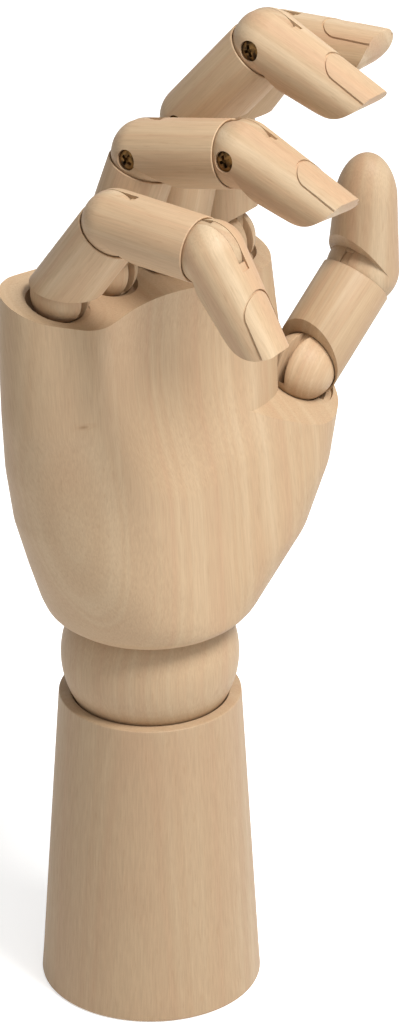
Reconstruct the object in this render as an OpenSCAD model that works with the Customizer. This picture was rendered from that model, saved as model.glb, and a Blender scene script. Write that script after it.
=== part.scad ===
// Wooden hand mannequin: right hand on a tapered forearm stand.
// Millimetres, +Z up. Origin: centre of the forearm's flat base. The palm faces -Y,
// the thumb and index finger are on the +X side. Drawn in its photographed pose.

/* [Forearm] */
// Radius of the forearm at its base
forearm_base_r = 27.4; // [24:0.5:30]
// Radius of the forearm at its cupped top
forearm_top_r = 22.5; // [21.5:0.1:24]
// Height of the forearm from base to top rim
forearm_h = 79.8; // [78:0.1:81]
// Radius of the stepped bore that holds the wrist spring
forearm_bore_r = 6.5; // [6:0.1:8]

/* [Wrist] */
// Radius of the wrist ball
wrist_r = 21.9; // [21:0.1:22.5]
// Height of the wrist ball's centre above the forearm's rim
wrist_lift = 10.5; // [10:0.1:11.2]
// Gap between a wooden ball and its cup
cup_gap = 0.3; // [0.2:0.05:0.5]

/* [Palm] */
// Height of the palm's bottom rim above the wrist ball's centre
palm_lift = 11.4; // [10.7:0.1:12.7]
// Height of the palm from its rim to its top face on the middle axis
palm_h = 88.3; // [86.3:0.5:89.3]
// Forward slope of the top face, degrees
top_tilt = 15.1; // [12:0.1:18]
// Sideways slope of the top face, degrees
top_lean = 4.6; // [3:0.1:6]
// Distance from one finger's centre to the next
finger_pitch = 19.7; // [19.5:0.1:20.5]

/* [Fingers] */
// Radius of the ring, middle and index finger pieces
finger_r = 8.25; // [8:0.05:8.4]
// Radius of the little finger pieces
little_r = 7.9; // [7.6:0.05:8.2]
// Loss of radius along a fingertip
tip_slim = 1.9; // [1.5:0.1:2.1]
// Radius of the thumb pieces
thumb_r = 9.05; // [8.8:0.05:9.2]
// How much smaller a knuckle ball's radius is than its finger piece's
ball_step = 0.7; // [0.6:0.05:0.8]
// Radius of the open mouth above each knuckle socket
mouth_r = 8.9; // [8.8:0.05:9.1]

/* [Joints] */
// Thickness of a hinge tongue
tongue_t = 2.3; // [2:0.05:2.4]
// Width of the slot that a tongue turns in
slot_w = 2.6; // [2.55:0.05:3]
// Shank radius of a hinge screw
screw_r = 1.2; // [1.1:0.05:1.3]
// Head radius of a hinge screw
head_r = 2.45; // [2.2:0.05:2.5]
// Radial running clearance of a tongue on its screw
run_gap = 0.06; // [0.04:0.01:0.09]
// Distance from a hinge back to the cup's rim
rim_back = 3.2; // [3:0.05:3.5]
// Angle of the notch that lets a finger piece bend, degrees
notch_deg = 56; // [54:1:58]

/* [Hidden] */
$fn = 64;
eps = 0.02;
seat_r = wrist_r + cup_gap;
wrist_z = forearm_h + wrist_lift;
palm_z0 = wrist_z + palm_lift;
palm_top_z = palm_z0 + palm_h;
fillet = 0.5;
heel = -2;
lip = 8.6;
slot_reach = 11;
pocket = 14;
web = 1.2;
bolt_back = 23.3;
// Columns: x, y, z of the knuckle, turn about Z, swing about Y, first bend,
// second bend, third bend, first, second and third length, radius, side of the heads
LITTLE = [0.85 - 1.5 * finger_pitch, 2.2, palm_top_z + 6.3, 3, -4.5, 37.2, 53.1, 58.2,
    29.5, 27.9, 27, little_r, 1];
RING = [0.85 - 0.5 * finger_pitch, 5.3, palm_top_z + 5.1, 4, 5.6, 17.3, 59.4, 31,
    32.4, 28.4, 30, finger_r, -1];
MIDDLE = [0.85 + 0.5 * finger_pitch, 2.5, palm_top_z + 5, 5.6, 3.5, 9.8, 30.8, 69.5,
    34.2, 30.3, 31, finger_r, -1];
INDEX = [0.85 + 1.5 * finger_pitch, 2, palm_top_z + 0.4, 6, 1.2, -3.1, 38.2, 47.1,
    29.8, 28.5, 29.3, finger_r, -1];
FINGERS = [LITTLE, RING, MIDDLE, INDEX];
thumb_pos = [43.3, -11.9, palm_z0 + 53.5];
thumb_tip_in = 3.9;
thumb_axis = 32;
thumb_bend = -16.4;
thumb_tip_bend = 50.5;
thumb_l1 = 28.8;
thumb_l2 = 31.6;
thumb_mouth = [27, 10];
// All five base tongues are cut alike, to leave a web of wood in the shortest finger piece
foot = min(thumb_l1, LITTLE[8], RING[8], MIDDLE[8], INDEX[8]) - pocket - web;

// Frames. Each one puts its children where that piece sits in the photographed pose.
module at_knuckle(f) {
    translate([f[0], f[1], f[2]]) rotate([0, 0, f[3]]) rotate([0, f[4], 0]) children();
}

module at_proximal(f) {
    at_knuckle(f) rotate([f[5], 0, 0]) children();
}

module at_middle(f) {
    at_proximal(f) translate([0, 0, f[8]]) rotate([f[6], 0, 0]) children();
}

module at_distal(f) {
    at_middle(f) translate([0, 0, f[9]]) rotate([f[7], 0, 0]) children();
}

module at_thumb() {
    translate(thumb_pos) rotate([thumb_tip_in, 0, 0]) rotate([0, thumb_axis, 0])
        rotate([0, 0, -90]) children();
}

module at_thumb_proximal() {
    at_thumb() rotate([thumb_bend, 0, 0]) children();
}

module at_thumb_distal() {
    at_thumb_proximal() translate([0, 0, thumb_l1]) rotate([thumb_tip_bend, 0, 0]) children();
}

// Cylinder along X
module x_rod(x0, x1, r) {
    translate([x0, 0, 0]) rotate([0, 90, 0]) cylinder(h = x1 - x0, r = r);
}

// Cylinder along Y, centred
module y_rod(len, r) {
    rotate([90, 0, 0]) cylinder(h = len, r = r, center = true);
}

// Shared finger shapes, each in its own frame: hinge on the X axis, bone along +Z,
// palm side towards -Y.

// Rounded hinge end with the bending notch, joined to a bone of length len
module hinge_end(len, r, r_end) {
    difference() {
        union() {
            sphere(r = r);
            cylinder(h = len, r1 = r, r2 = r_end);
        }
        difference() {
            rotate([-notch_deg, 0, 0]) translate([-20, -40, -40]) cube([40, 40, 40]);
            sphere(r = r);
        }
        x_rod(-slot_w / 2, slot_w / 2, slot_reach);
    }
}

// Screw seat through a hinge end, head on the given side
module screw_seat(r, side) {
    mirror([side > 0 ? 1 : 0, 0, 0]) {
        x_rod(-r - 1, -r + 1.95, head_r + 0.1);
        x_rod(-r, r - 2.6, screw_r + eps);
    }
}

// Cup with a thin rim and the pocket that holds the next tongue
module cup_cut(len, r) {
    translate([0, 0, len]) sphere(r = r + cup_gap);
    translate([-tongue_t / 2 - eps, -r - 1, len - pocket]) cube([tongue_t + 2 * eps, 2 * r + 2, pocket]);
}

module hinge_screw(r, side) {
    mirror([side > 0 ? 1 : 0, 0, 0]) difference() {
        union() {
            x_rod(-r + 0.45, -r + 1.95, head_r);
            x_rod(-r + 1, r - 2.7, screw_r);
        }
        translate([-r + 0.4, -1.5, -0.35]) cube([0.9, 3, 0.7]);
        translate([-r + 0.4, -0.35, -1.5]) cube([0.9, 0.7, 3]);
    }
}

// Tongue for the hinge at height len, glued into the pocket below it
module tongue(len, r) {
    translate([0, 0, len]) difference() {
        union() {
            x_rod(-tongue_t / 2, tongue_t / 2, r - 0.12);
            translate([-tongue_t / 2, -r + 0.85, -pocket + 0.1])
                cube([tongue_t, 2 * r - 1.7, pocket - 0.1]);
        }
        x_rod(-2, 2, screw_r + run_gap);
    }
}

// Tongue that turns in the knuckle ball's slot, glued into the bone above the cup
module base_tongue() {
    difference() {
        union() {
            x_rod(-tongue_t / 2, tongue_t / 2, 5);
            translate([-tongue_t / 2, -4.8, 0]) cube([tongue_t, 9.6, foot]);
        }
        x_rod(-2, 2, screw_r + run_gap);
    }
}

module knuckle_ball(r) {
    difference() {
        sphere(r = r - ball_step);
        translate([-slot_w / 2, -10, -5.4]) cube([slot_w, 20, 20]);
        x_rod(-6, 6, screw_r + eps);
    }
}

module knuckle_pin() {
    x_rod(-5.9, 5.9, screw_r);
}

module knuckle_spring(r) {
    difference() {
        translate([0, 0, -26]) cylinder(h = 20, r = 2.6);
        translate([0, 0, -27]) cylinder(h = 22, r = 1.7);
        sphere(r = r - ball_step + 0.4);
    }
}

// First finger piece. Its lower end cups the ball: low behind, cut back on the palm side.
module proximal_bone(len, r) {
    rake = atan((lip - heel) / (2 * r));
    difference() {
        translate([0, 0, -5]) cylinder(h = len - rim_back + 5, r = r);
        translate([0, 0, (lip + heel) / 2]) rotate([-rake, 0, 0]) translate([-20, -20, -20])
            cube([40, 40, 20]);
        rotate([0, 90, 0]) sphere(r = r - ball_step + cup_gap);
        translate([-tongue_t / 2 - eps, -4.8 - eps, 0])
            cube([tongue_t + 2 * eps, 9.6 + 2 * eps, foot + eps]);
        cup_cut(len, r);
    }
}

module middle_bone(len, r, side) {
    difference() {
        hinge_end(len - rim_back, r, r);
        cup_cut(len, r);
        screw_seat(r, side);
    }
}

// Fingertip: slim cone with a rounded palm side and a flat nail
module distal_bone(len, r, side, slim) {
    end_c = [4.8, len - 12.2];
    difference() {
        intersection() {
            hinge_end(len + 2, r, r - slim);
            union() {
                translate([-15, -15, -15]) cube([30, 30, 15 + end_c[1]]);
                translate([-15, end_c[0], end_c[1]]) rotate([0, 90, 0]) cylinder(h = 30, r = 12.2);
            }
        }
        translate([0, r - 0.6, len - 17]) rotate([7.8, 0, 0]) translate([-15, 0, -1])
            cube([30, 12, 30]);
        screw_seat(r, side);
    }
}

// Forearm and wrist

module forearm() {
    color("burlywood") difference() {
        rotate_extrude($fn = 96) polygon([
            [0, 0], [forearm_base_r - fillet, 0], [forearm_base_r, fillet],
            [forearm_top_r, forearm_h - fillet / 2], [forearm_top_r - fillet / 2, forearm_h],
            [0, forearm_h]]);
        translate([0, 0, wrist_z]) sphere(r = seat_r, $fn = 96);
        translate([0, 0, 40]) cylinder(h = 50, r = 2.6);
        translate([0, 0, -1]) cylinder(h = 46, r = forearm_bore_r);
    }
}

module base_plug() {
    color("tan") cylinder(h = 6, r = forearm_bore_r - eps);
}

module wrist_bolt() {
    color("silver") {
        translate([0, 0, 11.8]) cylinder(h = wrist_z - bolt_back - 11.8, r = 2);
        translate([0, 0, 9]) cylinder(h = 3, r = 5.6);
    }
}

module wrist_spring() {
    color("dimgray") difference() {
        translate([0, 0, 12.1]) cylinder(h = 32.8, r = 5.2);
        translate([0, 0, 12]) cylinder(h = 34, r = 2.35);
    }
}

module wrist_ball() {
    color("wheat") translate([0, 0, wrist_z]) difference() {
        sphere(r = wrist_r, $fn = 96);
        cylinder(h = 60, r = 2.2, center = true);
        translate([0, 0, 10]) cylinder(h = 12.5, r1 = 2.2, r2 = 6);
        translate([0, 0, -22.5]) cylinder(h = 12.5, r1 = 6, r2 = 2.2);
    }
}

module wrist_cable() {
    color("silver") translate([0, 0, wrist_z]) cylinder(h = 42, r = 1.6, center = true);
}

// Palm

module disc(x, y, z, r) {
    translate([x, y, z]) cylinder(h = 0.2, r = r, $fn = 48);
}

// Half space above the sloped top face
module above_top() {
    translate([0, 0, palm_top_z]) rotate([top_tilt, top_lean, 0]) translate([-80, -60, 0])
        cube([160, 120, 60]);
}

// Block under the four fingers, round at the wrist and wide at the knuckles
module palm_block() {
    hull() {
        disc(0, 0, palm_z0, 21.3);
        disc(0, 0, palm_z0 + 2.8, 25.2);
        disc(-3, 0, palm_z0 + 7.3, 24.8);
        disc(5, 0, palm_z0 + 7.3, 25.3);
        disc(-12, 0.5, palm_z0 + 19.3, 21.2);
        disc(15, 0, palm_z0 + 19.3, 21.8);
        disc(-20, 1.5, palm_z0 + 33.3, 18.3);
        disc(22, 1, palm_z0 + 33.3, 17.5);
        disc(-25, 2, palm_z0 + 48.3, 16.4);
        disc(26.5, 2, palm_z0 + 48.3, 15);
        disc(-27.6, 2.2, palm_z0 + 63.3, 15.2);
        disc(29.3, 2.2, palm_z0 + 63.3, 14.4);
        disc(-30.2, 4, palm_top_z - 6, 12.3);
        disc(30.3, 2, palm_top_z - 6, 11);
        disc(-30, 4.1, palm_top_z + 8, 12);
        disc(30.3, 2, palm_top_z + 4, 10.3);
    }
}

// Swelling at the root of the thumb
module thumb_root() {
    hull() {
        disc(2, -0.5, palm_z0 + 3.3, 24.5);
        disc(19, -4, palm_z0 + 19.3, 23);
        disc(30, -8, palm_z0 + 33.3, 18.4);
        disc(36.4, -10, palm_z0 + 45.3, 14.6);
        disc(41.6, -10.7, palm_z0 + 49.3, 11.8);
        disc(40.6, -10.4, palm_z0 + 56.3, 11.4);
        disc(28, -2, palm_z0 + 70.3, 12.5);
        disc(6, 0, palm_z0 + 48.3, 15);
    }
}

// Seat of a knuckle ball, opened out above so that the cupped finger piece can swing
module socket(r) {
    sphere(r = r - ball_step + cup_gap);
    intersection() {
        sphere(r = r + mouth_r - finger_r);
        translate([-20, -20, -5.5]) cube([40, 40, 40]);
    }
}

module palm() {
    color("burlywood") difference() {
        union() {
            palm_block();
            difference() {
                thumb_root();
                translate(thumb_pos) rotate([thumb_mouth[0], thumb_mouth[1], 0])
                    translate([-60, -60, -3.1]) cube([120, 120, 60]);
            }
        }
        above_top();
        translate([-4, -65.6, palm_top_z - 10]) sphere(r = 60);
        translate([0, 0, wrist_z]) sphere(r = seat_r, $fn = 96);
        translate([0, 0, wrist_z + 18]) cylinder(h = 16, r = 2.6);
        for (f = FINGERS) at_knuckle(f) {
            socket(f[11]);
            cylinder(h = 20, r = mouth_r);
            translate([0, 0, -29]) cylinder(h = 24, r = 2.9);
            translate([0, 0, -27.1]) y_rod(14, 1 + eps);
        }
        at_thumb() {
            socket(thumb_r);
            translate([0, 0, -29]) cylinder(h = 24, r = 2.9);
            translate([0, 0, -27.1]) y_rod(14, 1 + eps);
        }
        translate(thumb_pos) rotate([thumb_mouth[0], thumb_mouth[1], 0])
            translate([0, 0, -4.2]) cylinder(h = 20, r = mouth_r + 1.3);
        translate([0, 0, palm_z0 + 24.3]) rotate([0, 0, 90]) y_rod(20, 1 + eps);
    }
}

// Steel cross pins inside the palm that the springs pull on
module anchor_pins() {
    color("silver") {
        for (f = FINGERS) at_knuckle(f) translate([0, 0, -27.1]) y_rod(13.9, 1);
        at_thumb() translate([0, 0, -27.1]) y_rod(13.9, 1);
        translate([0, 0, palm_z0 + 24.3]) rotate([0, 0, 90]) y_rod(19.9, 1);
    }
}

// Little finger

module little_spring() {
    color("dimgray") at_knuckle(LITTLE) knuckle_spring(LITTLE[11]);
}

module little_ball() {
    color("wheat") at_knuckle(LITTLE) knuckle_ball(LITTLE[11]);
}

module little_ball_pin() {
    color("silver") at_knuckle(LITTLE) knuckle_pin();
}

module little_base_tongue() {
    color("peru") at_proximal(LITTLE) base_tongue();
}

module little_proximal() {
    color("burlywood") at_proximal(LITTLE) proximal_bone(LITTLE[8], LITTLE[11]);
}

module little_mid_tongue() {
    color("peru") at_proximal(LITTLE) tongue(LITTLE[8], LITTLE[11]);
}

module little_middle() {
    color("burlywood") at_middle(LITTLE) middle_bone(LITTLE[9], LITTLE[11], LITTLE[12]);
}

module little_mid_screw() {
    color("goldenrod") at_middle(LITTLE) hinge_screw(LITTLE[11], LITTLE[12]);
}

module little_tip_tongue() {
    color("peru") at_middle(LITTLE) tongue(LITTLE[9], LITTLE[11]);
}

module little_distal() {
    color("burlywood") at_distal(LITTLE) distal_bone(LITTLE[10], LITTLE[11], LITTLE[12], tip_slim);
}

module little_tip_screw() {
    color("goldenrod") at_distal(LITTLE) hinge_screw(LITTLE[11], LITTLE[12]);
}

// Ring finger

module ring_spring() {
    color("dimgray") at_knuckle(RING) knuckle_spring(RING[11]);
}

module ring_ball() {
    color("wheat") at_knuckle(RING) knuckle_ball(RING[11]);
}

module ring_ball_pin() {
    color("silver") at_knuckle(RING) knuckle_pin();
}

module ring_base_tongue() {
    color("peru") at_proximal(RING) base_tongue();
}

module ring_proximal() {
    color("burlywood") at_proximal(RING) proximal_bone(RING[8], RING[11]);
}

module ring_mid_tongue() {
    color("peru") at_proximal(RING) tongue(RING[8], RING[11]);
}

module ring_middle() {
    color("burlywood") at_middle(RING) middle_bone(RING[9], RING[11], RING[12]);
}

module ring_mid_screw() {
    color("goldenrod") at_middle(RING) hinge_screw(RING[11], RING[12]);
}

module ring_tip_tongue() {
    color("peru") at_middle(RING) tongue(RING[9], RING[11]);
}

module ring_distal() {
    color("burlywood") at_distal(RING) distal_bone(RING[10], RING[11], RING[12], tip_slim);
}

module ring_tip_screw() {
    color("goldenrod") at_distal(RING) hinge_screw(RING[11], RING[12]);
}

// Middle finger

module middle_spring() {
    color("dimgray") at_knuckle(MIDDLE) knuckle_spring(MIDDLE[11]);
}

module middle_ball() {
    color("wheat") at_knuckle(MIDDLE) knuckle_ball(MIDDLE[11]);
}

module middle_ball_pin() {
    color("silver") at_knuckle(MIDDLE) knuckle_pin();
}

module middle_base_tongue() {
    color("peru") at_proximal(MIDDLE) base_tongue();
}

module middle_proximal() {
    color("burlywood") at_proximal(MIDDLE) proximal_bone(MIDDLE[8], MIDDLE[11]);
}

module middle_mid_tongue() {
    color("peru") at_proximal(MIDDLE) tongue(MIDDLE[8], MIDDLE[11]);
}

module middle_middle() {
    color("burlywood") at_middle(MIDDLE) middle_bone(MIDDLE[9], MIDDLE[11], MIDDLE[12]);
}

module middle_mid_screw() {
    color("goldenrod") at_middle(MIDDLE) hinge_screw(MIDDLE[11], MIDDLE[12]);
}

module middle_tip_tongue() {
    color("peru") at_middle(MIDDLE) tongue(MIDDLE[9], MIDDLE[11]);
}

module middle_distal() {
    color("burlywood") at_distal(MIDDLE) distal_bone(MIDDLE[10], MIDDLE[11], MIDDLE[12], tip_slim);
}

module middle_tip_screw() {
    color("goldenrod") at_distal(MIDDLE) hinge_screw(MIDDLE[11], MIDDLE[12]);
}

// Index finger

module index_spring() {
    color("dimgray") at_knuckle(INDEX) knuckle_spring(INDEX[11]);
}

module index_ball() {
    color("wheat") at_knuckle(INDEX) knuckle_ball(INDEX[11]);
}

module index_ball_pin() {
    color("silver") at_knuckle(INDEX) knuckle_pin();
}

module index_base_tongue() {
    color("peru") at_proximal(INDEX) base_tongue();
}

module index_proximal() {
    color("burlywood") at_proximal(INDEX) proximal_bone(INDEX[8], INDEX[11]);
}

module index_mid_tongue() {
    color("peru") at_proximal(INDEX) tongue(INDEX[8], INDEX[11]);
}

module index_middle() {
    color("burlywood") at_middle(INDEX) middle_bone(INDEX[9], INDEX[11], INDEX[12]);
}

module index_mid_screw() {
    color("goldenrod") at_middle(INDEX) hinge_screw(INDEX[11], INDEX[12]);
}

module index_tip_tongue() {
    color("peru") at_middle(INDEX) tongue(INDEX[9], INDEX[11]);
}

module index_distal() {
    color("burlywood") at_distal(INDEX) distal_bone(INDEX[10], INDEX[11], INDEX[12], tip_slim);
}

module index_tip_screw() {
    color("goldenrod") at_distal(INDEX) hinge_screw(INDEX[11], INDEX[12]);
}

// Thumb

module thumb_spring() {
    color("dimgray") at_thumb() knuckle_spring(thumb_r);
}

module thumb_ball() {
    color("wheat") at_thumb() knuckle_ball(thumb_r);
}

module thumb_ball_pin() {
    color("silver") at_thumb() knuckle_pin();
}

module thumb_base_tongue() {
    color("peru") at_thumb_proximal() base_tongue();
}

module thumb_proximal() {
    color("burlywood") at_thumb_proximal() proximal_bone(thumb_l1, thumb_r);
}

module thumb_tip_tongue() {
    color("peru") at_thumb_proximal() tongue(thumb_l1, thumb_r);
}

module thumb_distal() {
    color("burlywood") at_thumb_distal() distal_bone(thumb_l2, thumb_r, -1, tip_slim + 0.4);
}

module thumb_tip_screw() {
    color("goldenrod") at_thumb_distal() hinge_screw(thumb_r, -1);
}

// Parts list

forearm();
base_plug();
wrist_bolt();
wrist_spring();
wrist_ball();
wrist_cable();
palm();
anchor_pins();
little_spring();
little_ball();
little_ball_pin();
little_base_tongue();
little_proximal();
little_mid_tongue();
little_middle();
little_mid_screw();
little_tip_tongue();
little_distal();
little_tip_screw();
ring_spring();
ring_ball();
ring_ball_pin();
ring_base_tongue();
ring_proximal();
ring_mid_tongue();
ring_middle();
ring_mid_screw();
ring_tip_tongue();
ring_distal();
ring_tip_screw();
middle_spring();
middle_ball();
middle_ball_pin();
middle_base_tongue();
middle_proximal();
middle_mid_tongue();
middle_middle();
middle_mid_screw();
middle_tip_tongue();
middle_distal();
middle_tip_screw();
index_spring();
index_ball();
index_ball_pin();
index_base_tongue();
index_proximal();
index_mid_tongue();
index_middle();
index_mid_screw();
index_tip_tongue();
index_distal();
index_tip_screw();
thumb_spring();
thumb_ball();
thumb_ball_pin();
thumb_base_tongue();
thumb_proximal();
thumb_tip_tongue();
thumb_distal();
thumb_tip_screw();
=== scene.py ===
"""Wooden drawing hand on its forearm: pale turned hardwood, aged screws, steel inside.

Sizes in this file are millimetres until a finished mesh is scaled to metres.
"""
import math

import bmesh
import bpy
import numpy as np
from mathutils import Matrix, Vector


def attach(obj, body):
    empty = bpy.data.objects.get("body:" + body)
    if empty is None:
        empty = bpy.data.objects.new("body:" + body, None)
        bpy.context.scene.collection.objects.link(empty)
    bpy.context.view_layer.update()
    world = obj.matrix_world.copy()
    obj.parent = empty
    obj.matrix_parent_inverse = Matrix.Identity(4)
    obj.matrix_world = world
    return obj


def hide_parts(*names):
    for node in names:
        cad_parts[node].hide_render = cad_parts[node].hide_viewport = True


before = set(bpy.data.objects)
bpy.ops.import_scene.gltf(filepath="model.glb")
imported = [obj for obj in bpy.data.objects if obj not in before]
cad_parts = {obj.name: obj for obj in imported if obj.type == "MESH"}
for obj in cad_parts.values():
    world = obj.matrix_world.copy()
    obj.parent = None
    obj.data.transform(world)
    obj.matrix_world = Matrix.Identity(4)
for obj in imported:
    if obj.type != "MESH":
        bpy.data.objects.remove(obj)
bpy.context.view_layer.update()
MM = 0.001

# Sizes shared with the solids
FOREARM_BASE_R = 27.4
FOREARM_TOP_R = 22.5
FOREARM_H = 79.8
BORE_R = 6.5
WRIST_R = 21.9
WRIST_Z = 90.3
CUP_GAP = 0.3
SEAT_R = WRIST_R + CUP_GAP
PALM_TOP_Z = 190.0
TOP_TILT = 15.1
TOP_LEAN = 4.6
PITCH = 19.7
FINGER_R = 8.25
TIP_SLIM = 1.9
BALL_STEP = 0.7
MOUTH_R = 8.9
TONGUE_T = 2.3
SCREW_R = 1.2
HEAD_R = 2.45
HEAD_H = 1.5
HEAD_SINK = 0.45
RIM_BACK = 3.2
SKIRT = -5
GLUE = 0.02
NOTCH_DEG = 56.0
POCKET = 14.0
HEEL = -2.0
LIP = 8.6
FOOT = 13.6
FOOT_HALF = 4.8

# Closer fits and saw ends, cut only here
SLOT_W = 2.46
CUP_EASE = 0.14
SLOT_EASE = 0.3
KERF_DEPTH = 1.0
KERF_END = 6.4

FINGERS = {
    "little": dict(at=(0.85 - 1.5 * PITCH, 2.2, 196.3), turn=3, swing=-4.5,
                   bends=(37.2, 53.1, 58.2), lengths=(29.5, 27.9, 27), r=7.9, side=1),
    "ring": dict(at=(0.85 - 0.5 * PITCH, 5.3, 195.1), turn=4, swing=5.6,
                 bends=(17.3, 59.4, 31), lengths=(32.4, 28.4, 30), r=FINGER_R, side=-1),
    "middle": dict(at=(0.85 + 0.5 * PITCH, 2.5, 195), turn=5.6, swing=3.5,
                   bends=(9.8, 30.8, 69.5), lengths=(34.2, 30.3, 31), r=FINGER_R, side=-1),
    "index": dict(at=(0.85 + 1.5 * PITCH, 2, 190.4), turn=6, swing=1.2,
                  bends=(-3.1, 38.2, 47.1), lengths=(29.8, 28.5, 29.3), r=FINGER_R, side=-1),
}
THUMB = dict(at=(43.3, -11.9, 155.2), tip_in=3.9, axis=32, bends=(-16.4, 50.5),
             lengths=(28.8, 31.6), mouth=(27, 10), r=9.05, side=-1,
             slim=TIP_SLIM + 0.4, domed=True)


# Camera
def aim_camera():
    """The photograph's view: from the little-finger side, a little above the knuckles."""
    azimuth, rise = math.radians(-49.67), math.radians(27.02)
    away_m, px_per_mm, picture_px, sensor_mm = 1.4066, 4.13, 1024, 36
    away = Vector((math.sin(azimuth) * math.cos(rise), -math.cos(azimuth) * math.cos(rise),
                   math.sin(rise)))
    right = Vector((math.cos(azimuth), math.sin(azimuth), 0))
    up = away.cross(right)
    target = right * 12.37 * MM + Vector((0, 0, 128.27 * MM))
    camera = bpy.data.objects.new("camera", bpy.data.cameras.new("camera"))
    bpy.context.scene.collection.objects.link(camera)
    camera.data.sensor_width = sensor_mm
    camera.data.lens = px_per_mm * away_m / MM / picture_px * sensor_mm
    camera.data.clip_end = 20
    camera.matrix_world = (Matrix.Translation(target + away * away_m)
                           @ Matrix((right, up, away)).transposed().to_4x4())
    bpy.context.scene.camera = camera
    return away, right


AWAY, RIGHT = aim_camera()


# Frames: where each piece's own axes sit in the photographed pose
def spin(axis, degrees):
    return Matrix.Rotation(math.radians(degrees), 4, axis)


def lift(z):
    return Matrix.Translation((0, 0, z))


def finger_frames(f):
    knuckle = Matrix.Translation(f["at"]) @ spin("Z", f["turn"]) @ spin("Y", f["swing"])
    first = knuckle @ spin("X", f["bends"][0])
    second = first @ lift(f["lengths"][0]) @ spin("X", f["bends"][1])
    third = second @ lift(f["lengths"][1]) @ spin("X", f["bends"][2])
    return knuckle, first, second, third


def thumb_frames(t):
    knuckle = (Matrix.Translation(t["at"]) @ spin("X", t["tip_in"]) @ spin("Y", t["axis"])
               @ spin("Z", -90))
    first = knuckle @ spin("X", t["bends"][0])
    return knuckle, first, first @ lift(t["lengths"][0]) @ spin("X", t["bends"][1])


# Node trees
def add(tree, kind, inputs=None, **settings):
    """Adds one node, with its settings, and its sockets set to a value or linked."""
    made = tree.nodes.new(kind)
    for key, value in settings.items():
        setattr(made, key, value)
    for key, value in (inputs or {}).items():
        if isinstance(value, bpy.types.NodeSocket):
            tree.links.new(value, made.inputs[key])
        else:
            made.inputs[key].default_value = value
    return made


def result(tree, kind, inputs=None, **settings):
    """Adds one node and gives its first output."""
    return add(tree, kind, inputs, **settings).outputs[0]


def calc(tree, operation, *values):
    """Adds one sum on the values in their order."""
    return result(tree, "ShaderNodeMath", dict(enumerate(values)), operation=operation)


def stretched(tree, where, scale):
    return result(tree, "ShaderNodeVectorMath", {0: where, 1: scale}, operation="MULTIPLY")


def length_of(tree, where):
    return add(tree, "ShaderNodeVectorMath", {0: where}, operation="LENGTH").outputs["Value"]


def noise(tree, inputs, **settings):
    return add(tree, "ShaderNodeTexNoise", inputs, **settings).outputs["Fac"]


def spread(tree, value, low, high, out_low, out_high, **settings):
    """Maps low to out_low, high to out_high and what lies between evenly."""
    return result(tree, "ShaderNodeMapRange",
                  {"Value": value, "From Min": low, "From Max": high, "To Min": out_low,
                   "To Max": out_high}, **settings)


def blend(tree, factor, first, second):
    """Mixes two colours, all of the second one where the factor is 1."""
    mixed = add(tree, "ShaderNodeMix", {"Factor": factor, "A": first, "B": second}, data_type="RGBA")
    return [s for s in mixed.outputs if s.type == "RGBA"][0]


def linear(code):
    """sRGB hex to a linear RGBA colour."""
    parts = [int(code[i:i + 2], 16) / 255 for i in (1, 3, 5)]
    return tuple(p / 12.92 if p <= 0.04045 else ((p + 0.055) / 1.055) ** 2.4 for p in parts) + (1.0,)


def shader(name):
    material = bpy.data.materials.new(name)
    material.use_nodes = True
    tree = material.node_tree
    tree.nodes.clear()
    surface = add(tree, "ShaderNodeBsdfPrincipled")
    add(tree, "ShaderNodeOutputMaterial", {"Surface": surface.outputs[0]})
    return material, tree, surface


# Pale close-grained hardwood, turned or sanded and left bare. The eye gets broad soft bands of
# growth, short hair-fine fibre lines along the grain and a dull satin sheen. FRESH_WOOD is how far
# along the grain one seed's wood lies from the next.
PALE, HONEY, ROSE, BROWN, KNOT = "#cdb493", "#c2a583", "#bf9c7b", "#9c7854", "#8d6a45"
FRESH_WOOD = 61.0


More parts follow.
